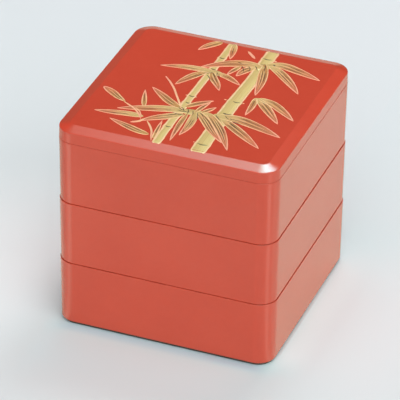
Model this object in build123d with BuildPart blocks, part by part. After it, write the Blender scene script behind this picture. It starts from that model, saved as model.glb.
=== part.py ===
from build123d import *
import os

# Square stacking box: three interchangeable tiers and a lid with a wide, flat chamfer.
# Frame: +Z up, origin on the table at the centre of the lowest foot ring.
# The box's front faces -Y. All sizes are in millimetres.
#
# Every tier and the lid end below in a stepped foot that drops into a rabbet
# inside the rim below, so that the outside faces stand flush. The weight is
# carried by the broad outer land of the rim.

# ---- driving dimensions -------------------------------------------------
width = 197.0            # outside of a rim, both ways
corner_r = 16.5          # outside upright corner, at a rim
tier_pitch = 59.7        # rise from one tier to the next
draft = 0.6              # each side wall leans out this much from base to rim
wall = 4.0               # side wall thickness
floor_t = 3.0            # floor thickness

foot_h = 2.5             # stepped foot that drops into the rim below
foot_step = 2.3          # how far the foot stands in from the rim's outside
joint_gap = 0.4          # clearance between a foot and the rabbet around it
rabbet_h = 2.8           # depth of the rabbet inside a rim
foot_ring_w = 5.0        # width of the ring under a tier
foot_recess = 1.2        # the floor's underside stands this far above the ring

rim_round = 0.6          # outer edge of a rim
base_round = 0.9         # outer edge at the bottom of a wall
mouth_round = 0.5        # inner edges of a rim
foot_break = 0.4         # broken edges of a foot
cove_r = 4.0             # inside fillet between floor and walls

lid_side_h = 10.3        # upright side of the lid
lid_draft = 0.3          # the lid's side leans in this much towards its top
lid_edge_round = 0.6     # outer edge at the bottom of the lid
chamfer_in = 9.8         # width of the lid's sloping border
chamfer_rise = 2.85      # rise of that border
lid_top_t = 3.0          # thickness of the lid's top
lid_cove_r = 3.5         # inside fillet under the lid
chamfer_low_r = 0.9      # rounding where the side meets the border
chamfer_high_r = 3.5     # rounding where the border meets the top

n_tiers = 3

# ---- derived sizes ------------------------------------------------------
rim_half = width / 2
base_half = rim_half - draft
foot_half = rim_half - foot_step
rabbet_half = foot_half + joint_gap
mouth_half = rim_half - wall
floor_half = base_half - wall
ring_inner_half = foot_half - foot_ring_w

base_z = foot_h                        # bottom edge of the visible wall
rim_z = foot_h + tier_pitch            # top of the rim
floor_z = foot_recess + floor_t        # inside of the floor
rabbet_z = rim_z - rabbet_h

lid_z = foot_h + n_tiers * tier_pitch  # height of the lid's bottom edge
lid_shoulder_half = rim_half - lid_draft
lid_flat_half = lid_shoulder_half - chamfer_in
lid_top_z = lid_side_h + chamfer_rise  # top of the lid above its bottom edge
lid_inner_z = lid_top_z - lid_top_t    # underside of the lid's top


def r_at(half):
    """Corner radius that keeps a corner concentric with the rim's own corner."""
    return corner_r - (rim_half - half)


# ---- the tier moulding, standing at the origin --------------------------
with BuildPart() as tier:
    # stepped foot
    with BuildSketch(Plane.XY) as foot_outline:
        RectangleRounded(2 * foot_half, 2 * foot_half, r_at(foot_half))
    extrude(amount=base_z + 1.0)

    # outside of the walls, leaning out towards the rim
    with BuildSketch(Plane.XY.offset(base_z)) as wall_bottom:
        RectangleRounded(2 * base_half, 2 * base_half, r_at(base_half))
    with BuildSketch(Plane.XY.offset(rim_z)) as wall_top:
        RectangleRounded(2 * rim_half, 2 * rim_half, r_at(rim_half))
    loft(ruled=True)

    # the hollow, with the same lean
    with BuildSketch(Plane.XY.offset(floor_z)) as hollow_bottom:
        RectangleRounded(2 * floor_half, 2 * floor_half, r_at(floor_half))
    with BuildSketch(Plane.XY.offset(rim_z)) as hollow_top:
        RectangleRounded(2 * mouth_half, 2 * mouth_half, r_at(mouth_half))
    loft(ruled=True, mode=Mode.SUBTRACT)
    inner_floor = tier.faces().filter_by(Axis.Z).filter_by_position(
        Axis.Z, floor_z - 0.01, floor_z + 0.01)[0]
    fillet(inner_floor.edges(), cove_r)

    # rabbet inside the rim
    with BuildSketch(Plane.XY.offset(rabbet_z)) as rabbet_outline:
        RectangleRounded(2 * rabbet_half, 2 * rabbet_half, r_at(rabbet_half))
    extrude(amount=rabbet_h, mode=Mode.SUBTRACT)

    # shallow recess under the floor, which leaves a ring to stand on
    with BuildSketch(Plane.XY) as recess_outline:
        RectangleRounded(2 * ring_inner_half, 2 * ring_inner_half, r_at(ring_inner_half))
    extrude(amount=foot_recess, mode=Mode.SUBTRACT)

    # softened edges: rim outside and inside, shelf of the rabbet, wall bottom, foot ring
    rim = tier.faces().filter_by(Axis.Z).sort_by(Axis.Z)[-1]
    fillet(rim.outer_wire().edges(), rim_round)
    rim = tier.faces().filter_by(Axis.Z).sort_by(Axis.Z)[-1]
    fillet(rim.inner_wires()[0].edges(), mouth_round)
    shelf = tier.faces().filter_by(Axis.Z).filter_by_position(
        Axis.Z, rabbet_z - 0.01, rabbet_z + 0.01)[0]
    fillet(shelf.inner_wires()[0].edges(), mouth_round)
    step = tier.faces().filter_by(Axis.Z).filter_by_position(
        Axis.Z, base_z - 0.01, base_z + 0.01)[0]
    fillet(step.outer_wire().edges(), base_round)
    ring = tier.faces().filter_by(Axis.Z).sort_by(Axis.Z)[0]
    chamfer(ring.outer_wire().edges(), foot_break)
    ring = tier.faces().filter_by(Axis.Z).sort_by(Axis.Z)[0]
    fillet(ring.inner_wires()[0].edges(), mouth_round)

# ---- the three tiers ----------------------------------------------------
with BuildPart() as lower_tier:
    add(tier.part)

with BuildPart() as middle_tier:
    with Locations((0, 0, tier_pitch)):
        add(tier.part)

with BuildPart() as upper_tier:
    with Locations((0, 0, 2 * tier_pitch)):
        add(tier.part)

# ---- the lid ------------------------------------------------------------
with BuildPart() as lid:
    # upright side, leaning in a little towards the top
    with BuildSketch(Plane.XY.offset(lid_z)) as side_bottom:
        RectangleRounded(2 * rim_half, 2 * rim_half, r_at(rim_half))
    with BuildSketch(Plane.XY.offset(lid_z + lid_side_h)) as side_top:
        RectangleRounded(2 * lid_shoulder_half, 2 * lid_shoulder_half, r_at(lid_shoulder_half))
    loft(ruled=True)

    # sloping border up to the flat top
    with BuildSketch(Plane.XY.offset(lid_z + lid_side_h)) as border_bottom:
        RectangleRounded(2 * lid_shoulder_half, 2 * lid_shoulder_half, r_at(lid_shoulder_half))
    with BuildSketch(Plane.XY.offset(lid_z + lid_top_z)) as border_top:
        RectangleRounded(2 * lid_flat_half, 2 * lid_flat_half, r_at(lid_flat_half))
    loft(ruled=True)

    # stepped foot around the lid's edge
    with BuildSketch(Plane.XY.offset(lid_z - foot_h)) as lid_foot:
        RectangleRounded(2 * foot_half, 2 * foot_half, r_at(foot_half))
    extrude(amount=foot_h + 1.0)

    # hollow underneath
    with BuildSketch(Plane.XY.offset(lid_z - foot_h)) as lid_mouth:
        RectangleRounded(2 * mouth_half, 2 * mouth_half, r_at(mouth_half))
    with BuildSketch(Plane.XY.offset(lid_z + lid_inner_z)) as lid_ceiling:
        RectangleRounded(2 * (mouth_half - lid_draft), 2 * (mouth_half - lid_draft),
                         r_at(mouth_half - lid_draft))
    loft(ruled=True, mode=Mode.SUBTRACT)
    ceiling = lid.faces().filter_by(Axis.Z).filter_by_position(
        Axis.Z, lid_z + lid_inner_z - 0.01, lid_z + lid_inner_z + 0.01)[0]
    fillet(ceiling.edges(), lid_cove_r)

    # softened edges: border, bottom edge, foot
    top = lid.faces().filter_by(Axis.Z).sort_by(Axis.Z)[-1]
    fillet(top.edges(), chamfer_high_r)
    shoulder = lid.edges().filter_by_position(
        Axis.Z, lid_z + lid_side_h - 0.01, lid_z + lid_side_h + 0.01)
    fillet(shoulder, chamfer_low_r)
    land = lid.faces().filter_by(Axis.Z).filter_by_position(
        Axis.Z, lid_z - 0.01, lid_z + 0.01)[0]
    fillet(land.outer_wire().edges(), lid_edge_round)
    tip = lid.faces().filter_by(Axis.Z).sort_by(Axis.Z)[0]
    chamfer(tip.outer_wire().edges(), foot_break)
    tip = lid.faces().filter_by(Axis.Z).sort_by(Axis.Z)[0]
    fillet(tip.inner_wires()[0].edges(), mouth_round)

# ---- export -------------------------------------------------------------
lower_tier.part.label = "lower_tier"
middle_tier.part.label = "middle_tier"
upper_tier.part.label = "upper_tier"
lid.part.label = "lid"

os.makedirs("parts", exist_ok=True)
export_step(lower_tier.part, "parts/lower_tier.step")
export_step(middle_tier.part, "parts/middle_tier.step")
export_step(upper_tier.part, "parts/upper_tier.step")
export_step(lid.part, "parts/lid.step")
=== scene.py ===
import math
import random

import bmesh
import bpy
import numpy as np
from mathutils import Matrix, Vector

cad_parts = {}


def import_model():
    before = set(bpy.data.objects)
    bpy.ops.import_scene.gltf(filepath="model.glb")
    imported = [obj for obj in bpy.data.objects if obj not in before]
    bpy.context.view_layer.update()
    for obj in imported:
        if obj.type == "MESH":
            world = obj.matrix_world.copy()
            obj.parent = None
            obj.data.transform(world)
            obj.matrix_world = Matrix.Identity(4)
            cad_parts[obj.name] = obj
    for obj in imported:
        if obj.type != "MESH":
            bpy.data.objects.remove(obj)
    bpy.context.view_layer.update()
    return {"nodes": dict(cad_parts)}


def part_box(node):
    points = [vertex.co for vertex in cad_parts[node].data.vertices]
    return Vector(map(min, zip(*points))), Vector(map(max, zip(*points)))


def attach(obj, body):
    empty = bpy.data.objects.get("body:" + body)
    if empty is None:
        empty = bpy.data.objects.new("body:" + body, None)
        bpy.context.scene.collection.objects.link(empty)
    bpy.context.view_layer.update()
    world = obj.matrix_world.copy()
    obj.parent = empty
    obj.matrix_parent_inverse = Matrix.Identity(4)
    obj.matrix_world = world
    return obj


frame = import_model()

scene = bpy.context.scene
random.seed(7)

# ---- sizes repeated from the part, in millimetres -------------------------
LID_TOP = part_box("lid")[1].z * 1000.0   # the lid's flat top
FLAT_HALF = 88.4                        # half width of that flat, before rounding
BORDER_ANGLE = math.atan2(2.85, 9.8)    # slope of the border round it
BORDER_ROUND = 3.5                      # rounding between the flat and the border
FOOT_H = 2.5
TIER_PITCH = 59.7


# =====================================================================
# Camera: the photograph's viewing angle
# =====================================================================
def set_camera():
    az, el, roll = math.radians(20.817), math.radians(32.127), math.radians(0.758)
    back = Vector((math.sin(az) * math.cos(el), -math.cos(az) * math.cos(el), math.sin(el)))
    right = Vector((math.cos(az), math.sin(az), 0.0))
    up = back.cross(right)
    r2 = right * math.cos(roll) + up * math.sin(roll)
    u2 = -right * math.sin(roll) + up * math.cos(roll)
    width = 0.19596
    place = (Vector((0.0, 0.0, 0.09067)) + back * (14.893 * width)
             - r2 * (0.01819 * width) - u2 * (0.00744 * width))
    cam = bpy.data.cameras.new("camera")
    cam.sensor_width = 36.0
    cam.lens = 304.43
    cam.clip_start, cam.clip_end = 0.1, 60.0
    cam.dof.use_dof = False
    obj = bpy.data.objects.new("camera", cam)
    scene.collection.objects.link(obj)
    m = Matrix((r2, u2, back)).transposed().to_4x4()
    m.translation = place
    obj.matrix_world = m
    scene.camera = obj


set_camera()
scene.view_settings.view_transform = "Standard"
scene.view_settings.look = "None"


# =====================================================================
# Helpers for node materials
# =====================================================================
class Nodes:
    """Short names for building one material's node tree."""

    def __init__(self, material):
        material.use_nodes = True
        self.tree = material.node_tree
        self.tree.nodes.clear()

    def add(self, kind, **values):
        node = self.tree.nodes.new(kind)
        for name, value in values.items():
            if name == "inputs":
                for key, v in value.items():
                    if isinstance(v, bpy.types.NodeSocket):
                        self.tree.links.new(v, node.inputs[key])
                    else:
                        node.inputs[key].default_value = v
            else:
                setattr(node, name, value)
        return node

    def noise(self, vector, scale, detail=2.0, rough=0.5, distortion=0.0):
        return self.add("ShaderNodeTexNoise", inputs={
            "Vector": vector, "Scale": scale, "Detail": detail, "Roughness": rough,
            "Distortion": distortion}).outputs["Fac"]

    def math(self, op, a, b=0.0, c=0.0, clamp=False):
        return self.add("ShaderNodeMath", operation=op, use_clamp=clamp,
                        inputs={0: a, 1: b, 2: c}).outputs[0]

    def remap(self, value, from_min, from_max, to_min=0.0, to_max=1.0, kind="LINEAR"):
        return self.add("ShaderNodeMapRange", interpolation_type=kind, inputs={
            "Value": value, "From Min": from_min, "From Max": from_max,
            "To Min": to_min, "To Max": to_max}).outputs["Result"]

    def mix(self, factor, a, b, blend="MIX"):
        node = self.add("ShaderNodeMix", data_type="RGBA", blend_type=blend)
        for key, v in ((0, factor), (6, a), (7, b)):
            if isinstance(v, bpy.types.NodeSocket):
                self.tree.links.new(v, node.inputs[key])
            else:
                node.inputs[key].default_value = v if key == 0 else (*v[:3], 1.0)
        return node.outputs[2]

    def output(self, shader):
        out = self.add("ShaderNodeOutputMaterial")
        self.tree.links.new(shader, out.inputs["Surface"])


def srgb(r, g, b):
    """Linear colour of an 8-bit display colour."""
    def one(v):
        v /= 255.0
        return v / 12.92 if v <= 0.04045 else ((v + 0.055) / 1.055) ** 2.4
    return (one(r), one(g), one(b))


# =====================================================================
# Lacquer
# =====================================================================
LACQUER = (0.614, 0.0648, 0.0475)
LACQUER_DEEP = (0.584, 0.0584, 0.0425)
LACQUER_RIM_WEAR_AND_SHEEN = (0.680, 0.1000, 0.0720)
FOOT_BLACK = (0.030, 0.0130, 0.0105)


def lacquer(name, shift, foot):
    """Sprayed vermilion under a clear, faintly amber coat: a satin gloss with a faint orange
    peel, slow changes of tone, and a slightly paler line along the rims, part wear and part a
    painted highlight of their edges. What lies below the height foot, the step that goes into
    the rim below, is dark, and so is the joint itself: part dirt, part painted shade of the gap."""
    mat = bpy.data.materials.new(name)
    n = Nodes(mat)
    place = n.add("ShaderNodeTexCoord").outputs["Object"]
    moved = n.add("ShaderNodeVectorMath", operation="ADD",
                  inputs={0: place, 1: shift}).outputs[0]
    z = n.add("ShaderNodeSeparateXYZ", inputs={0: place}).outputs["Z"]

    # tone: clouds a few centimetres across, and a fine flow of pigment
    clouds = n.noise(moved, 16.0, 3.0, 0.55)
    flow = n.noise(moved, 220.0, 4.0, 0.6)
    tone = n.math("ADD", n.math("MULTIPLY", clouds, 0.7), n.math("MULTIPLY", flow, 0.3))
    colour = n.mix(n.remap(tone, 0.36, 0.64), LACQUER, LACQUER_DEEP)

    # rims: distance in height from the nearest joint between two pieces
    over_foot = n.math("SUBTRACT", z, FOOT_H * 0.001)
    to_joint = n.math("PINGPONG", over_foot, TIER_PITCH * 0.0005)
    near_rim = n.remap(to_joint, 0.0003, 0.0011, 1.0, 0.0, "SMOOTHSTEP")
    patchy = n.remap(n.noise(moved, 95.0, 3.0, 0.6), 0.40, 0.66)
    # paler rims: part wear, part painted highlight along the rim edges
    wear_and_sheen = n.math("MULTIPLY", n.math("MULTIPLY", near_rim, patchy), 0.22)
    colour = n.mix(wear_and_sheen, colour, LACQUER_RIM_WEAR_AND_SHEEN)
    # darker joint line: part dirt, part painted shade inside the gap, a little weaker at the lid's joint
    grime_and_shade = n.math("MULTIPLY", n.remap(to_joint, 0.0002, 0.0007, 1.0, 0.0, "SMOOTHSTEP"),
                   n.math("MULTIPLY", n.remap(patchy, 0.0, 1.0, 0.22, 0.08),
                          n.remap(z, 0.150, 0.170, 1.0, 0.45)))
    colour = n.mix(grime_and_shade, colour, FOOT_BLACK)

    # upright corners: painted shade makes them a little darker than the light leaves them, and the
    # one at the front left instead gets painted light, a livelier red
    xyz = n.add("ShaderNodeSeparateXYZ", inputs={0: place}).outputs
    inner = n.math("MINIMUM", n.math("ABSOLUTE", xyz["X"]), n.math("ABSOLUTE", xyz["Y"]))
    corner = n.remap(inner, 0.0825, 0.0895, 0.0, 1.0, "SMOOTHSTEP")
    painted_light_front_left = n.math("MULTIPLY", n.remap(xyz["X"], -0.080, -0.060, 1.0, 0.0),
                     n.remap(xyz["Y"], -0.080, -0.060, 1.0, 0.0))
    painted_corner_shade = n.math("MULTIPLY", corner, n.remap(painted_light_front_left, 0.0, 1.0, 0.09, 0.0))
    colour = n.mix(painted_corner_shade, colour, (0.0, 0.0, 0.0))
    colour = n.mix(n.math("MULTIPLY", corner, painted_light_front_left), colour,
                   n.mix(1.0, colour, (1.12, 1.0, 1.0), "MULTIPLY"))
    below = n.remap(z, foot - 0.00012, foot + 0.00002, 1.0, 0.0)
    colour = n.mix(below, colour, FOOT_BLACK)

    # gloss: wiped surfaces are never evenly glossy
    smear = n.noise(n.add("ShaderNodeMapping", inputs={
        "Vector": moved, "Scale": (1.0, 1.0, 0.35)}).outputs[0], 42.0, 4.0, 0.6, 0.6)
    rough = n.remap(smear, 0.3, 0.7, 0.236, 0.268)
    rough = n.math("SUBTRACT", rough, n.math("MULTIPLY", wear_and_sheen, 0.04))
    rough = n.math("ADD", rough, n.math("MULTIPLY", below, 0.18))

    # relief: orange peel of about 2 mm
    peel = n.noise(moved, 430.0, 1.5, 0.45)
    bump = n.add("ShaderNodeBump", inputs={
        "Strength": 1.0, "Distance": 1.0, "Height": n.math("MULTIPLY", peel, 0.000004)})

    shader = n.add("ShaderNodeBsdfPrincipled", inputs={
        "Base Color": colour, "Roughness": rough, "IOR": 1.5,
        "Coat Weight": 0.55, "Coat Roughness": 0.14, "Coat IOR": 1.5,
        "Coat Tint": (1.0, 0.96, 0.45, 1.0),
        "Normal": bump.outputs[0], "Coat Normal": bump.outputs[0]})
    n.output(shader.outputs[0])
    return mat


tier_lacquer = [lacquer(f"tier_lacquer_{i}", (0.31 * i, 0.17 * i, 0.05 * i),
                        (FOOT_H + TIER_PITCH * i) * 0.001) for i in range(3)]
lid_lacquer = lacquer("lid_lacquer", (1.3, 0.7, 0.2), (FOOT_H + TIER_PITCH * 3) * 0.001)


def dress(node, material):
    obj = frame["nodes"][node]
    if not obj.material_slots:
        obj.data.materials.append(material)
    for s in obj.material_slots:
        s.material = material


for node, material in zip(("lower_tier", "middle_tier", "upper_tier"), tier_lacquer):
    dress(node, material)
dress("lid", lid_lacquer)


# =====================================================================
# Floor, the world's light all round, and lamps
# =====================================================================
def floor():
    mesh = bpy.data.meshes.new("floor")
    bm = bmesh.new()
    bmesh.ops.create_circle(bm, cap_ends=True, segments=96, radius=9.0)
    bm.to_mesh(mesh)
    bm.free()
    obj = bpy.data.objects.new("floor", mesh)
    obj.location = (0.0, 0.0, -0.0001)
    scene.collection.objects.link(obj)
    mat = bpy.data.materials.new("floor_paper")
    n = Nodes(mat)
    place = n.add("ShaderNodeTexCoord").outputs["Object"]
    fibre = n.noise(place, 900.0, 4.0, 0.7)
    cloud = n.noise(place, 1.6, 2.0, 0.5)
    colour = n.mix(n.remap(n.math("ADD", n.math("MULTIPLY", fibre, 0.4),
                                  n.math("MULTIPLY", cloud, 0.6)), 0.35, 0.65),
                   (0.722, 0.765, 0.778), (0.742, 0.783, 0.793))
    # painted light: the floor is whiter to the left of the box and close to its right side, lifting the shadow the
    # box casts there
    sep = n.add("ShaderNodeSeparateXYZ", inputs={0: place}).outputs
    spot = n.add("ShaderNodeVectorMath", operation="DISTANCE",
                 inputs={0: place, 1: (-0.165, 0.0, 0.0)}).outputs["Value"]
    left = n.remap(spot, 0.020, 0.170, 0.18, 0.0, "SMOOTHSTEP")
    right = n.math("MULTIPLY", n.remap(sep["X"], 0.0965, 0.132, 0.215, 0.0, "SMOOTHSTEP"),
                   n.math("MULTIPLY", n.math("GREATER_THAN", sep["X"], 0.05),
                          n.math("MULTIPLY", n.remap(sep["Y"], -0.112, -0.070, 0.0, 1.0, "SMOOTHSTEP"),
                                 n.remap(sep["Y"], -0.010, 0.130, 1.0, 0.0, "SMOOTHSTEP"))))
    painted_light_patch = n.math("ADD", left, right)
    colour = n.mix(n.math("MULTIPLY", painted_light_patch, 1.0 / 0.235), colour, (0.975, 0.985, 0.99))
    # painted: close round the box, most right in front of it, the floor is made less red and cooler, taking back
    # red light the box throws on it
    across = n.math("ABSOLUTE", sep["X"])
    front = n.math("MULTIPLY", n.remap(sep["Y"], -0.122, -0.098, 0.0, 0.07, "SMOOTHSTEP"),
                   n.math("MULTIPLY", n.remap(sep["Y"], -0.096, -0.080, 1.0, 0.0),
                          n.remap(across, 0.090, 0.110, 1.0, 0.0, "SMOOTHSTEP")))
    edge = n.math("MAXIMUM", across, n.math("ABSOLUTE", sep["Y"]))
    near = n.math("MULTIPLY", n.remap(edge, 0.098, 0.200, 0.045, 0.0, "SMOOTHSTEP"),
                  n.remap(sep["X"], -0.150, -0.098))
    beside = n.math("MULTIPLY", n.remap(sep["X"], 0.100, 0.128, 0.11, 0.0),
                    n.math("MULTIPLY", n.math("GREATER_THAN", sep["X"], 0.05),
                           n.math("MULTIPLY", n.remap(sep["Y"], -0.112, -0.092, 0.0, 1.0, "SMOOTHSTEP"),
                                  n.remap(sep["Y"], -0.020, 0.100, 1.0, 0.1))))
    cool = n.mix(1.0, colour, (0.0, 1.0, 1.0), "MULTIPLY")
    painted_bounce_cut = n.math("ADD", n.math("ADD", near, front), beside)
    colour = n.mix(n.math("MAXIMUM", painted_bounce_cut, 0.0), colour, cool)
    # painted light: in front of the box the floor is made a little brighter in green and blue
    before = n.math("MULTIPLY", n.remap(sep["Y"], -0.200, -0.140, 0.0, 1.0, "SMOOTHSTEP"),
                    n.math("MULTIPLY", n.remap(sep["Y"], -0.104, -0.096, 1.0, 0.0),
                           n.remap(across, 0.090, 0.110, 1.0, 0.0, "SMOOTHSTEP")))
    colour = n.mix(before, colour, n.mix(1.0, colour, (1.0, 1.035, 1.045), "MULTIPLY"))
    # a thin shadow along the foot of the right side
    thin = n.math("MULTIPLY", n.remap(sep["X"], 0.0984, 0.1004, 0.34, 0.0, "SMOOTHSTEP"),
                  n.math("MULTIPLY", n.math("GREATER_THAN", sep["X"], 0.05),
                         n.math("MULTIPLY", n.remap(sep["Y"], -0.086, -0.066, 0.0, 1.0, "SMOOTHSTEP"),
                                n.remap(sep["Y"], 0.000, 0.090, 1.0, 0.0))))
    colour = n.mix(thin, colour, n.mix(1.0, colour, (0.78, 0.46, 0.42), "MULTIPLY"))
    # the shadow right at the foot of the front is deeper than the wide lights leave it, and cool
    contact = n.math("MULTIPLY", n.remap(sep["Y"], -0.111, -0.1015, 0.0, 0.15, "SMOOTHSTEP"),
                     n.math("MULTIPLY", n.remap(sep["Y"], -0.096, -0.080, 1.0, 0.0),
                            n.remap(across, 0.082, 0.100, 1.0, 0.0, "SMOOTHSTEP")))
    colour = n.mix(contact, colour, n.mix(1.0, colour, (0.0, 0.42, 0.78), "MULTIPLY"))
    # that painted shadow is reddest next to the front corner
    painted_red_shade = n.math("MULTIPLY", n.remap(sep["Y"], -0.107, -0.100, 0.0, 0.12, "SMOOTHSTEP"),
                      n.math("MULTIPLY", n.remap(sep["Y"], -0.096, -0.080, 1.0, 0.0),
                             n.math("MULTIPLY", n.remap(sep["X"], 0.030, 0.055, 0.0, 1.0),
                                    n.remap(sep["X"], 0.082, 0.096, 1.0, 0.0, "SMOOTHSTEP"))))
    colour = n.mix(painted_red_shade, colour, n.mix(1.0, colour, (0.9, 0.0, 0.15), "MULTIPLY"))
    far = n.remap(sep["Y"], 0.10, 0.50)
    colour = n.mix(far, colour, n.mix(1.0, colour, (0.985, 0.962, 0.975), "MULTIPLY"))
    shader = n.add("ShaderNodeBsdfPrincipled", inputs={
        "Base Color": colour, "Roughness": 0.85, "Specular IOR Level": 0.2})
    n.output(shader.outputs[0])
    mesh.materials.append(mat)


floor()

# Soft studio light: wide, smooth patches of brightness over the whole sky, as
# (azimuth from +X towards +Y, elevation, tightness, linear colour), in degrees.
SKY = [
    (-150, 18, 9.0, (0.30, 0.30, 0.30)),
    (-90, 18, 9.0, (0.60, 0.60, 0.60)),
    (-60, 18, 9.0, (1.01, 1.01, 1.01)),
    (-30, 18, 9.0, (0.51, 0.51, 0.51)),
    (0, 18, 9.0, (1.25, 1.25, 1.25)),
    (120, 18, 9.0, (0.06, 0.06, 0.06)),
    (150, 18, 9.0, (0.09, 0.09, 0.09)),
    (-90, 48, 9.0, (0.56, 0.56, 0.56)),
    (-60, 48, 9.0, (1.18, 1.18, 1.18)),
    (-30, 48, 9.0, (0.58, 0.58, 0.58)),
    (0, 48, 9.0, (0.09, 0.09, 0.09)),
    (-60, 75, 9.0, (0.84, 0.84, 0.84)),
]
SKY_EVEN = (0.000, 0.000, 0.000)
SKY_LOW = (0.75, 0.75, 0.75)  # a band just over the horizon behind the box

# A row of soft spots on one long light above and behind the box, brightest over its right end:
# (place, spread of the spot, radiance at its middle for what it lights, and for what is seen of
# it in reflections). Their mirror image is the bright spot on the lid's front corner and the
# glow that fades along the lid's front border; it is cooler than the light they give.
BACK_ROW = [
    ((0.12, 0.84, 1.35), 0.10, (9.83, 9.83, 9.83), (5.0, 8.0, 9.5)),
    ((0.08, 0.73, 1.43), 0.10, (3.40, 3.40, 3.40), (4.0, 8.0, 11.0)),
    ((0.00, 0.60, 1.50), 0.11, (14.54, 14.54, 14.54), (7.5, 20.0, 24.0)),
    ((-0.19, 0.50, 1.52), 0.10, (5.41, 7.51, 7.89), (2.3, 6.9, 7.8)),
    ((-0.40, 0.50, 1.49), 0.12, (1.80, 2.50, 2.62), (0.8, 2.3, 2.8)),
    ((-0.64, 0.49, 1.45), 0.14, (0.34, 0.47, 0.50), (0.20, 0.50, 0.50)),
]


def world():
    w = bpy.data.worlds.new("studio")
    scene.world = w
    w.use_nodes = True
    tree = w.node_tree
    tree.nodes.clear()

    class W(Nodes):
        def __init__(self):
            self.tree = tree
    n = W()
    d = n.add("ShaderNodeTexCoord").outputs["Generated"]
    sep = n.add("ShaderNodeSeparateXYZ", inputs={0: d})
    x, y, z = sep.outputs

    def scaled(colour, factor):
        return n.add("ShaderNodeVectorMath", operation="SCALE",
                     inputs={0: colour, "Scale": factor}).outputs[0]

    def plus(a, b):
        return n.add("ShaderNodeVectorMath", operation="ADD", inputs={0: a, 1: b}).outputs[0]

    low = n.math("MULTIPLY", n.remap(z, 0.03, 0.14, 1.0, 0.0, "SMOOTHSTEP"),
                 n.remap(y, -0.1, 0.5, 0.0, 1.0, "SMOOTHSTEP"))
    total = plus(SKY_EVEN, scaled(SKY_LOW, low))
    for az, el, tight, colour in SKY:
        az, el = math.radians(az), math.radians(el)
        c = (math.cos(az) * math.cos(el), math.sin(az) * math.cos(el), math.sin(el))
        dot = n.add("ShaderNodeVectorMath", operation="DOT_PRODUCT", inputs={0: d, 1: c}).outputs["Value"]
        lobe = n.math("EXPONENT", n.math("MULTIPLY", n.math("SUBTRACT", dot, 1.0), tight))
        total = plus(total, scaled(colour, lobe))
    bg = n.add("ShaderNodeBackground", inputs={"Color": total, "Strength": 1.0})
    out = n.add("ShaderNodeOutputWorld")
    tree.links.new(bg.outputs[0], out.inputs["Surface"])


world()


def soft_spot(name, place, spread, colour, hidden_from, aim=(0.0, 0.0, 0.15)):
    """An area light that is brightest in its middle and fades out to nothing at its edges."""
    size = spread * 5.0
    data = bpy.data.lights.new(name, "AREA")
    data.shape = "SQUARE"
    data.size = size
    data.energy = math.pi * size * size
    data.use_nodes = True
    n = Nodes(data)
    away = n.add("ShaderNodeVectorMath", operation="DISTANCE", inputs={
        0: n.add("ShaderNodeNewGeometry").outputs["Position"], 1: place}).outputs["Value"]
    fall = n.math("EXPONENT", n.math("MULTIPLY", n.math("MULTIPLY", away, away), -0.5 / spread ** 2))
    glow = n.add("ShaderNodeEmission", inputs={
        "Color": (*colour, 1.0), "Strength": fall})
    n.tree.links.new(glow.outputs[0], n.add("ShaderNodeOutputLight").inputs["Surface"])
    obj = bpy.data.objects.new(name, data)
    obj.location = place
    obj.rotation_mode = "QUATERNION"
    obj.rotation_quaternion = (Vector(aim) - Vector(place)).to_track_quat("-Z", "Y")
    for ray in ("camera", hidden_from):
        setattr(obj, f"visible_{ray}", False)
    scene.collection.objects.link(obj)


for i, (place, spread, light, mirrored) in enumerate(BACK_ROW):
    soft_spot(f"back_row_{i}", place, spread, light, "glossy")
    # a little nearer: of two lights in one place a reflection would only find the first
    soft_spot(f"back_row_{i}_mirrored", tuple(v * 0.99 for v in place), spread, mirrored, "diffuse")


def floor_glint(name, corner, height, rays):
    """A sheet of light flat on the floor in front of a corner, seen only in reflections. Its
    rays (azimuth, width, radiance) run out from the corner's middle, so that each shows as one
    upright gleam on the rounding, a little stronger the higher up it is."""
    size = 0.90
    data = bpy.data.lights.new(name, "AREA")
    data.shape = "SQUARE"
    data.size = size
    data.energy = math.pi * size * size
    data.use_nodes = True
    n = Nodes(data)
    away = n.add("ShaderNodeVectorMath", operation="SUBTRACT", inputs={
        0: n.add("ShaderNodeNewGeometry").outputs["Position"], 1: (*corner, 0.0)}).outputs[0]
    x, y, _ = n.add("ShaderNodeSeparateXYZ", inputs={0: away}).outputs
    turn = n.math("ARCTAN2", y, x)
    total = None
    for azimuth, width, radiance in rays:
        off = n.math("DIVIDE", n.math("SUBTRACT", turn, math.radians(azimuth)), math.radians(width))
        ray = n.math("MULTIPLY", n.math("EXPONENT", n.math("MULTIPLY", n.math("MULTIPLY", off, off), -0.5)),
                     radiance)
        total = ray if total is None else n.math("ADD", total, ray)
    far = n.add("ShaderNodeVectorMath", operation="LENGTH", inputs={0: away}).outputs["Value"]
    total = n.math("MULTIPLY", total, n.remap(far, 0.03, 0.26, 0.5, 1.0))
    total = n.math("MULTIPLY", total, n.remap(far, 0.36, 0.44, 1.0, 0.0, "SMOOTHSTEP"))
    glow = n.add("ShaderNodeEmission", inputs={"Color": (1.0, 1.0, 1.0, 1.0), "Strength": total})
    n.tree.links.new(glow.outputs[0], n.add("ShaderNodeOutputLight").inputs["Surface"])
    obj = bpy.data.objects.new(name, data)
    obj.location = (*corner, height)
    obj.rotation_euler = (math.pi, 0.0, 0.0)
    for ray in ("camera", "diffuse", "transmission", "volume_scatter"):
        setattr(obj, f"visible_{ray}", False)
    scene.collection.objects.link(obj)


floor_glint("glint_left", (-0.082, -0.082), 0.0006, [(-130.0, 8.0, 1.15)])
floor_glint("glint_right", (0.082, -0.082), 0.0010, [(-26.0, 7.0, 1.15), (8.0, 6.0, 0.4)])


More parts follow.
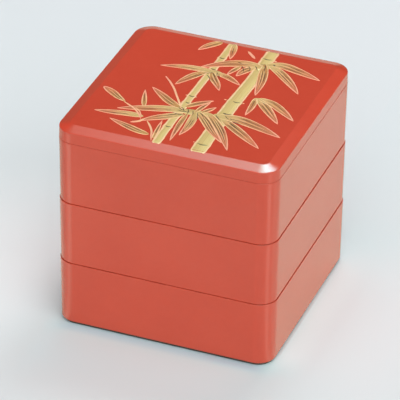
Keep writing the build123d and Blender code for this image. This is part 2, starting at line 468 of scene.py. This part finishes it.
# =====================================================================
# Gold bamboo on the lid: raised strips of gold, a few hundredths of a
# millimetre high, drawn as lines in the lid's own millimetres
# (x to the right and y away from the front, seen from above)
# =====================================================================
def lid_surface(x, y):
    """Height of the lid over its flat and the start of its border."""
    start = FLAT_HALF - BORDER_ROUND * math.tan(BORDER_ANGLE / 2)
    run = max(abs(x), abs(y)) - start
    if run <= 0:
        return LID_TOP
    end = BORDER_ROUND * math.sin(BORDER_ANGLE)
    if run < end:
        return LID_TOP - (BORDER_ROUND - math.sqrt(BORDER_ROUND ** 2 - run * run))
    return (LID_TOP - BORDER_ROUND * (1 - math.cos(BORDER_ANGLE))
            - (run - end) * math.tan(BORDER_ANGLE))


def smooth_line(points, count):
    """Evenly spaced points on a smooth curve through the given ones."""
    p = np.array(points, float)
    if len(p) == 2:
        p = np.array([p[0], p[0] * 0.5 + p[1] * 0.5, p[1]])
    ext = np.vstack([2 * p[0] - p[1], p, 2 * p[-1] - p[-2]])
    fine = []
    for i in range(1, len(ext) - 2):
        a, b, c, d = ext[i - 1], ext[i], ext[i + 1], ext[i + 2]
        for t in np.linspace(0, 1, 24, endpoint=False):
            fine.append(0.5 * (2 * b + (c - a) * t + (2 * a - 5 * b + 4 * c - d) * t * t
                               + (3 * b - a - 3 * c + d) * t ** 3))
    fine.append(p[-1])
    fine = np.array(fine)
    s = np.r_[0, np.cumsum(np.linalg.norm(np.diff(fine, axis=0), axis=1))]
    want = np.linspace(0, s[-1], count)
    return np.c_[np.interp(want, s, fine[:, 0]), np.interp(want, s, fine[:, 1])]


def normals_of(line):
    t = np.gradient(line, axis=0)
    t /= np.maximum(np.linalg.norm(t, axis=1, keepdims=True), 1e-9)
    return np.c_[-t[:, 1], t[:, 0]]


class Relief:
    """Collects raised, closed strips of gold into one mesh."""

    def __init__(self):
        self.verts, self.faces, self.grain = [], [], []

    def strip(self, line, half, height, crown, lift=0.0, shade=0.5, across=(-1.0, 1.0), along=(0.0, 1.0)):
        """A strip along line, half wide to each side. half may change along the line."""
        n = len(line)
        half = np.broadcast_to(np.asarray(half, float), (n,))
        nor = normals_of(line)
        first = len(self.verts)
        for i in range(n):
            h = max(half[i], 0.03)
            bevel = min(0.10, 0.45 * h)
            thin = min(1.0, h / 0.18)
            ring = ((h, -0.03), (h - bevel, lift + height * (0.25 + 0.75 * thin)),
                    (0.0, lift + (height + crown) * (0.25 + 0.75 * thin)),
                    (-h + bevel, lift + height * (0.25 + 0.75 * thin)), (-h, -0.03))
            u = along[0] + (along[1] - along[0]) * i / (n - 1)
            for off, up in ring:
                x, y = line[i] + nor[i] * off
                self.verts.append((x * 0.001, y * 0.001, (lid_surface(x, y) + up) * 0.001))
                v = across[0] + (across[1] - across[0]) * (off / h * 0.5 + 0.5)
                self.grain.append((u, v, shade))
        k = 5
        for i in range(n - 1):
            for j in range(k):
                a, b = first + i * k + j, first + i * k + (j + 1) % k
                self.faces.append((a, b, b + k, a + k))
        self.faces.append(tuple(first + j for j in range(k)))
        self.faces.append(tuple(first + (n - 1) * k + j for j in reversed(range(k))))

    def build(self, name, material):
        mesh = bpy.data.meshes.new(name)
        mesh.from_pydata(self.verts, [], self.faces)
        attribute = mesh.attributes.new("grain", "FLOAT_VECTOR", "POINT")
        attribute.data.foreach_set("vector", np.array(self.grain, np.float32).ravel())
        bm = bmesh.new()
        bm.from_mesh(mesh)
        bmesh.ops.recalc_face_normals(bm, faces=bm.faces)
        bm.to_mesh(mesh)
        bm.free()
        mesh.shade_smooth()
        mesh.set_sharp_from_angle(angle=math.radians(42))
        mesh.materials.append(material)
        obj = bpy.data.objects.new(name, mesh)
        scene.collection.objects.link(obj)
        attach(obj, "lid")
        return obj


def gold(name, near, far, dark, streaks, streak_amount, metallic=0.22, rough=0.46):
    """Printed gold: near the stem it is yellow, towards the tips it turns to copper, with
    fine lengthwise streaks where the powder lies thin."""
    mat = bpy.data.materials.new(name)
    n = Nodes(mat)
    grain = n.add("ShaderNodeAttribute", attribute_name="grain").outputs["Vector"]
    sep = n.add("ShaderNodeSeparateXYZ", inputs={0: grain})
    u, v, shade = sep.outputs
    place = n.add("ShaderNodeTexCoord").outputs["Object"]
    powder = n.noise(place, 2600.0, 3.0, 0.65)
    patch = n.noise(place, 150.0, 3.0, 0.55)
    turn = n.math("ADD", u, n.math("MULTIPLY", n.math("SUBTRACT", patch, 0.5), 0.6))
    colour = n.mix(n.remap(turn, 0.15, 0.95), near, far)
    lane = n.add("ShaderNodeCombineXYZ", inputs={
        "X": n.math("MULTIPLY", u, 3.0), "Y": n.math("MULTIPLY", v, streaks),
        "Z": n.math("MULTIPLY", shade, 40.0)}).outputs[0]
    streak = n.remap(n.noise(lane, 1.0, 2.0, 0.6), 0.45, 0.62)
    colour = n.mix(n.math("MULTIPLY", streak, streak_amount), colour, dark)
    colour = n.mix(n.remap(powder, 0.55, 0.75, 0.0, 0.30), colour, dark)
    r = n.remap(powder, 0.3, 0.7, rough - 0.06, rough + 0.10)
    bump = n.add("ShaderNodeBump", inputs={
        "Strength": 1.0, "Distance": 1.0, "Height": n.math("MULTIPLY", powder, 0.000010)})
    shader = n.add("ShaderNodeBsdfPrincipled", inputs={
        "Base Color": colour, "Metallic": metallic, "Roughness": r,
        "Normal": bump.outputs[0]})
    n.output(shader.outputs[0])
    return mat


def tone(r, g, b, lift=1.04):
    """A display colour of the gold, a little lighter to make up for what its metal share loses."""
    return tuple(min(1.0, v * lift) for v in srgb(r, g, b))


gold_stalk = gold("gold_stalk", tone(222, 188, 118), tone(222, 188, 118), tone(205, 164, 96), 9.0, 0.5)
gold_edge = gold("gold_edge", tone(247, 202, 150), tone(248, 190, 148), tone(218, 164, 108), 2.0, 0.35)
gold_line = gold("gold_line", tone(251, 208, 152), tone(255, 167, 136), tone(214, 134, 88), 2.0, 0.40)
gold_vein = gold("gold_vein", tone(242, 204, 142), tone(244, 162, 122), tone(192, 134, 82), 3.0, 0.40)
gold_fill = gold("gold_fill", tone(208, 148, 80), tone(217, 110, 72), tone(134, 72, 38), 5.0, 0.55)
gold_solid = gold("gold_solid", tone(220, 183, 115), tone(228, 153, 102), tone(180, 132, 72), 6.0, 0.7)
gold_ink = gold("gold_ink", tone(78, 54, 22), tone(98, 44, 22), tone(64, 40, 16), 3.0, 0.5, 0.12, 0.5)
gold_dark = gold("gold_dark", tone(112, 90, 44), tone(112, 90, 44), tone(90, 66, 32), 3.0, 0.5, 0.12, 0.5)

stalks, stalk_edges, node_lines = Relief(), Relief(), Relief()
fills, solids, outlines, veins, inks = Relief(), Relief(), Relief(), Relief(), Relief()


def stalk(left, right, nodes, reach, shade):
    """left and right are the stalk's two edges as (y, x) pairs; nodes are (y, x0, x1, nubs)."""
    ys = np.linspace(reach[0], reach[1], 150)
    lx = np.interp(ys, *zip(*left))
    rx = np.interp(ys, *zip(*right))
    for ny, *_ in nodes:       # a stalk swells a little at each node
        swell = 0.45 * np.exp(-((ys - ny) / 1.8) ** 2)
        lx, rx = lx - swell, rx + swell
    end = np.minimum(ys - reach[0], reach[1] - ys)
    tuck = 1.6 * np.clip(1 - end / 1.6, 0, 1) ** 2     # rounded ends
    lx, rx = lx + tuck, rx - tuck
    mid = np.c_[(lx + rx) / 2, ys]
    stalks.strip(mid, (rx - lx) / 2, 0.022, 0.008, shade=shade)
    for x, side in ((lx, 1), (rx, -1)):
        edge = np.c_[x + side * 0.85, ys]
        wobble = 0.84 + 0.12 * np.sin(ys * 0.31 + shade * 9) + 0.08 * np.sin(ys * 0.83)
        stalk_edges.strip(edge, wobble, 0.044, 0.014, shade=shade + 0.1 * side, along=(0.15, 0.6))
    for ny, x0, x1, nubs in nodes:
        xs = np.linspace(x0, x1, 22)
        t = (xs - x0) / (x1 - x0)
        line = np.c_[xs, ny + 0.40 * np.cos(t * 2 * math.pi)]
        node_lines.strip(line, 0.80 * np.sin(np.pi * np.clip(t, 0.06, 0.94)) ** 0.5, 0.050, 0.012,
                         shade=shade)
        for bx, by, length in nubs:
            nub = smooth_line([(bx, by), (bx + length, by + 0.3)], 8)
            outlines.strip(nub, 0.75 * np.sqrt(np.clip(1 - np.linspace(0, 1, 8) ** 2, 0.02, 1)), 0.055, 0.02,
                           shade=shade, along=(0.5, 0.8))


stalk([(-90, -13.6), (-60, -14.0), (0, -13.5), (20, -13.4), (60, -12.6), (90, -12.6)],
      [(-90, -5.4), (-60, -6.3), (0, -6.5), (20, -6.4), (60, -5.4), (90, -4.6)],
      [(-61.6, -12.0, -7.4, ()), (-7.6, -12.2, -7.0, ((-14.0, -7.6, -1.2), (-6.2, -7.6, 1.2))),
       (-19.2, -10.6, -6.4, ()), (42.0, -11.4, -6.8, ()), (62.6, -11.4, -6.8, ())],
      (-89.6, 89.4), 0.2)
stalk([(-90, 20.6), (-60, 20.5), (-10, 20.5), (10, 21.4), (40, 22.4), (90, 22.6)],
      [(-90, 34.4), (-60, 33.8), (-10, 33.4), (10, 34.0), (40, 34.4), (90, 34.5)],
      [(-78.0, 22.6, 31.6, ((19.6, -76.6, -1.0),)), (-24.6, 25.0, 31.6, ()),
       (-3.0, 26.0, 32.0, ((19.6, -2.2, -2.2), (34.4, -2.6, 1.8))), (75.2, 24.0, 32.0, ((35.0, 74.4, 2.2),))],
      (-89.8, 89.4), 0.7)

LEAF_SEGMENTS = 40
_leaf_count = [0]


def leaf_width(t, belly, sharp):
    """A bamboo leaf's half width: quick to its belly, then a long taper to the point."""
    w = np.clip(t, 1e-4, 1) ** (0.62 * belly) * np.clip(1 - t, 0, 1) ** sharp
    tm = 0.62 * belly / (0.62 * belly + sharp)
    return w / (tm ** (0.62 * belly) * (1 - tm) ** sharp)


def leaf(points, half, pale=0.0, lines=1, ink=2, belly=0.8, sharp=0.8, band=0):
    """points run from the leaf's base to its tip. pale is how far from the base the leaf is
    filled with solid gold. lines light and ink dark veins run lengthwise, taking turns. band
    puts a broad solid stripe along one side: 1 is left of the direction from base to tip."""
    i = _leaf_count[0]
    _leaf_count[0] += 1
    shade = (i * 0.618) % 1.0
    lift = 0.0015 * i
    line = smooth_line(points, LEAF_SEGMENTS)
    nor = normals_of(line)
    t = np.linspace(0, 1, LEAF_SEGMENTS)
    w = np.maximum(0.89 * half * leaf_width(t, belly, sharp), 0.25)
    fills.strip(line, w, 0.060, 0.012, lift, shade)
    if pale:
        part = t <= pale
        ease = np.clip((pale - t[part]) / 0.22, 0.06, 1) ** 0.6
        solids.strip(line[part], np.maximum(w[part] * 0.92 * ease, 0.15), 0.080, 0.012, lift, shade)
    if band:
        part = (t > 0.03) & (t < 0.80)
        ease = np.clip(np.minimum(t[part] / 0.1, (0.80 - t[part]) / 0.35), 0.08, 1)
        solids.strip((line + nor * (band * w * 0.55)[:, None])[part], w[part] * 0.33 * ease, 0.084, 0.012,
                     lift, shade)
    # outline: one strip along each edge
    for side in (1, -1):
        wide = 0.47 + 0.10 * np.sin(t * 9 + shade * 20 + side) + 0.05 * np.sin(t * 31 + shade * 50) + 0.13 * t ** 2
        wide = np.minimum(wide, 0.62 * w + 0.1) * np.clip(t / 0.10, 0.35, 1)
        edge = line + nor * (side * np.maximum(w - 0.55 * wide, 0.05))[:, None]
        outlines.strip(edge, wide, 0.100, 0.022, lift, shade)
    # veins: lengthwise lines that start and end at different places
    rng = random.Random(100 + i)
    count = lines + ink
    if not count:
        return
    spots = np.linspace(-1, 1, count + 2)[1:-1] * 0.92
    order = sorted(range(count), key=lambda k: abs(spots[k]))
    # the rarer sort sits in the middle, and both take turns outwards
    dark = set()
    for k in range(count):
        if ink > lines:
            if k % 2 == 0:
                dark.add(k)
        elif k % 2 == 1:
            dark.add(k)
    while len(dark) > ink:
        dark.discard(max(dark, key=lambda k: abs(spots[k])))
    for k in order:
        if len(dark) >= ink:
            break
        dark.add(k)
    for k, s in enumerate(spots):
        if k in dark:
            t0 = max(0.10 + 0.16 * rng.random(), 0.35 * pale)
            t1 = 0.90 - 0.22 * abs(s) - 0.14 * rng.random()
            wide, target, high = 0.36, inks, 0.088
        else:
            t0, t1 = 0.04 + 0.10 * rng.random(), 0.97 - 0.20 * abs(s) - 0.10 * rng.random()
            wide, target, high = 0.38, veins, 0.094
        keep = (t >= t0) & (t <= t1)
        drift = 0.06 * np.sin(t * 5.0 + 6.0 * rng.random())
        vein = (line + nor * ((s + drift) * w * 0.80)[:, None])[keep]
        if len(vein) < 5:
            continue
        tt = np.linspace(0, 1, len(vein))
        width = wide * np.clip(np.minimum(tt / 0.15, (1 - tt) / 0.30), 0.25, 1)
        target.strip(vein, width, high, 0.016, lift, shade, along=(t0, t1))


def stroke(points, half, ends=(0.5, 0.3), along=(0.3, 0.95)):
    """A single brush stroke: a stem, or a leaf seen edge on. ends are how wide its two ends are."""
    i = _leaf_count[0]
    _leaf_count[0] += 1
    line = smooth_line(points, 34)
    t = np.linspace(0, 1, 34)
    w = half * np.clip(np.minimum(ends[0] + (1 - ends[0]) * t / 0.2, ends[1] + (1 - ends[1]) * (1 - t) / 0.2),
                       0.1, 1)
    outlines.strip(line, w, 0.100, 0.022, 0.0015 * i, (i * 0.618) % 1.0, along=along)


def patch(points, half, taper=0.35):
    """Solid gold where the leaves of a twig meet."""
    i = _leaf_count[0]
    _leaf_count[0] += 1
    line = smooth_line(points, 24)
    t = np.linspace(0, 1, 24)
    w = half * np.clip(np.minimum(t, 1 - t) / taper, 0.02, 1) ** 0.5
    solids.strip(line, w, 0.055, 0.010, 0.0015 * i, (i * 0.618) % 1.0, along=(0.0, 0.35))


def mark(points, half=0.42):
    """A short ink line over the gold where several leaves start."""
    line = smooth_line(points, 14)
    t = np.linspace(0, 1, 14)
    inks.strip(line, half * np.clip(np.minimum(t / 0.25, (1 - t) / 0.35), 0.2, 1), 0.135, 0.016,
               0.0015 * _leaf_count[0], (len(line) * 0.37 + points[0][0]) % 1.0, along=(0.0, 0.5))


# -- where twigs meet
patch([(-15, -33.5), (-2, -32.5), (12, -31.5), (23, -32)], 4.6)
patch([(19, -28), (27, -33), (36, -37.5)], 6.2)
patch([(-14, 36.5), (2, 36)], 4.8)
patch([(17, 57), (25, 59.5), (38, 66)], 5.2)
# -- lower left branch
leaf([(-4, -33), (-20, -34.6), (-40, -41), (-60.5, -49.3)], 5.4, pale=0.5, lines=1, ink=1, band=-1)
leaf([(-35, -54), (-50, -54.8), (-64, -57.3), (-77, -59.3)], 4.2, pale=0.6, lines=1, ink=1)
leaf([(-5, -38), (-16, -46), (-26, -53), (-35, -61)], 4.8, pale=0.6, lines=1, ink=2)
stroke([(-33, -57.5), (-35.5, -62.5), (-41.5, -66.5)], 1.25, (0.6, 0.5))
leaf([(-58, -37), (-66, -32.5), (-75, -26), (-84.5, -20.5)], 3.9, lines=1, ink=2, belly=1.4, sharp=0.6)
stroke([(-59, -37.5), (-52, -41.5), (-46, -45.5), (-40, -52), (-35.5, -58.5)], 0.85)
stroke([(-46.5, -43), (-41, -47.5), (-36, -56)], 0.6)
leaf([(-40.5, -39), (-45, -27), (-50, -12.5)], 2.4, lines=0, ink=1, sharp=0.9)
leaf([(-12, -29), (-24, -22.5), (-34, -14.8), (-46, -6)], 4.3)
stroke([(-9, -31), (-15, -22), (-22, -11), (-28, -1.5), (-35, 7.5), (-42, 15)], 0.95, (0.6, 0.7))
leaf([(-20, -79.5), (-30, -77.5), (-42, -73.5), (-60, -67)], 3.9)
stroke([(-29, -60), (-24, -66.5), (-20, -73), (-17, -81), (-14.5, -88)], 0.9)
leaf([(-14.4, -84), (-16, -70), (-17.8, -54.5)], 1.9, lines=0, ink=1)
# -- upper right branch
leaf([(30, 66), (44, 69.8), (60, 65.8), (82, 58)], 5.6, pale=0.42)
leaf([(33, 66.5), (45, 58.5), (57, 47.3), (66, 37.5), (72.5, 29.5)], 5.0, pale=0.4, lines=2, ink=2)
leaf([(29, 66), (33, 52), (36.5, 36), (39.5, 14)], 4.7, lines=2, ink=2)
leaf([(31, 60), (14, 61), (-3, 54.5), (-21, 41)], 5.9, pale=0.42, lines=1, ink=1)
leaf([(23, 58), (17, 50), (13, 38.5)], 4.4, pale=0.3)
leaf([(11, 55), (7.5, 46), (5, 37.5)], 2.6, lines=0, ink=1)
# -- upper left branch
leaf([(-5, 37.5), (-22, 37.8), (-38, 35.8), (-53.5, 31.5)], 4.3, pale=0.75, lines=1, ink=1)
leaf([(-13, 36), (-20.5, 26), (-26, 15.5), (-30, 6)], 4.5, pale=0.2, lines=1, ink=1)
leaf([(-9, 37), (-3, 27), (3, 19), (8.5, 10)], 3.9, lines=1, ink=2)
leaf([(-5, 37), (5, 34.5), (13, 30.5), (21.5, 25)], 3.7, pale=0.4, lines=0, ink=1)
# -- single leaves
leaf([(-18.5, 89), (-27, 79.5), (-33.5, 68.5)], 4.2, lines=1, ink=1)
stroke([(8, 82), (12.5, 77.5), (17.5, 72.5)], 1.35, (0.4, 0.4), (0.8, 1.0))
leaf([(-7.5, 90), (-5, 80), (-2, 63.5)], 3.4, pale=0.5, lines=0, ink=1)
# -- lower middle branch
leaf([(-8, -26), (-1, -18), (10.5, -8)], 3.2, lines=0, ink=1)
leaf([(3, -31), (5.5, -21), (9, -11.5)], 2.3, lines=0, ink=1)
leaf([(8, -30), (11.5, -25), (16.5, -17.5)], 2.5, lines=0, ink=1)
leaf([(-2.5, -36), (-2.4, -50), (-1.4, -66), (0, -82)], 2.7, lines=0, ink=1)
leaf([(3, -31), (5.0, -44), (5.5, -57), (3.8, -71)], 4.2, pale=0.8, lines=0, ink=2)
leaf([(4, -29), (15, -40.5), (27, -55), (41, -69.5)], 4.4, pale=0.25, lines=2, ink=3)
leaf([(13, -28), (25, -41), (37, -57), (49.5, -79)], 4.4, pale=0.2, lines=2, ink=3)
# -- branch at the right stalk
leaf([(22, -30), (42, -29.5), (62, -35), (83, -43.5)], 6.2, pale=0.42, lines=1, ink=2, belly=0.7)
leaf([(27, -33), (42, -43), (56, -53.5), (72.5, -66.5)], 5.0, pale=0.25, lines=1, ink=2)
# -- right branch
leaf([(42, 10), (43.5, -5), (43.3, -20)], 3.1, pale=0.2, lines=0, ink=1)
leaf([(43, 10), (53, 0), (63, -11), (73.5, -23.5)], 4.7, pale=0.3, lines=1, ink=2)
leaf([(44, 10), (58, 6), (71, -3), (84, -14)], 4.7, pale=0.35, lines=1, ink=1)

# -- ink lines between the leaves that start from one twig
for line in (
        [(-14, -29), (-9, -31.5), (-5, -32)], [(-13, -33.5), (-7, -34), (-1, -33)],
        [(-12, -27.5), (-8.5, -30), (-6.5, -34)], [(-5, -28.5), (-3, -32), (-2.5, -37)],
        [(0, -29.5), (1.5, -33), (2.5, -37)], [(4, -31), (6.5, -35), (8, -40), (8.5, -44)],
        [(-15, -38.5), (-9, -40), (-4, -38.5)], [(-17, -43), (-12, -41.5), (-9, -38.5)],
        [(6, -30), (10, -33.5), (13, -38)],
        [(28, -27), (30.5, -30), (34, -32)], [(34, -29.5), (35.5, -32.5)],
        [(20, -29), (23, -32), (26.5, -36)], [(36, -34), (40, -34.8), (46, -36)],
        [(35, -37), (40, -40.5), (46, -45)],
        [(30, 66), (31.5, 60), (33, 54)], [(22, 61), (25, 57), (27, 53)],
        [(11, 57), (14.5, 52), (17, 46)], [(17, 58), (19.5, 55), (21, 50)],
        [(-14, 33), (-10, 34.5), (-6, 37)], [(-11, 31), (-7, 27), (-4, 22)],
        [(-8, 36.5), (-4.5, 32), (-1, 26)], [(-4, 38.5), (-3, 35), (-1.5, 31)],
        [(-2, 36), (0, 32), (1.5, 28)], [(-14, 30.5), (-17, 27), (-20, 22)]):
    mark(line)
mark([(25, -23.6), (29, -24.6), (33, -23.4)], 0.65)
mark([(36, 68.6), (38.4, 66.6)], 0.8)
mark([(6.5, 60.6), (10.5, 60.2)], 0.6)

stalks.build("gold_stalks", gold_stalk)
stalk_edges.build("gold_stalk_edges", gold_edge)
node_lines.build("gold_stalk_nodes", gold_dark)
fills.build("gold_leaf_grounds", gold_fill)
solids.build("gold_leaf_bands", gold_solid)
outlines.build("gold_leaf_outlines", gold_line)
veins.build("gold_leaf_veins", gold_vein)
inks.build("gold_leaf_ink_lines", gold_ink)
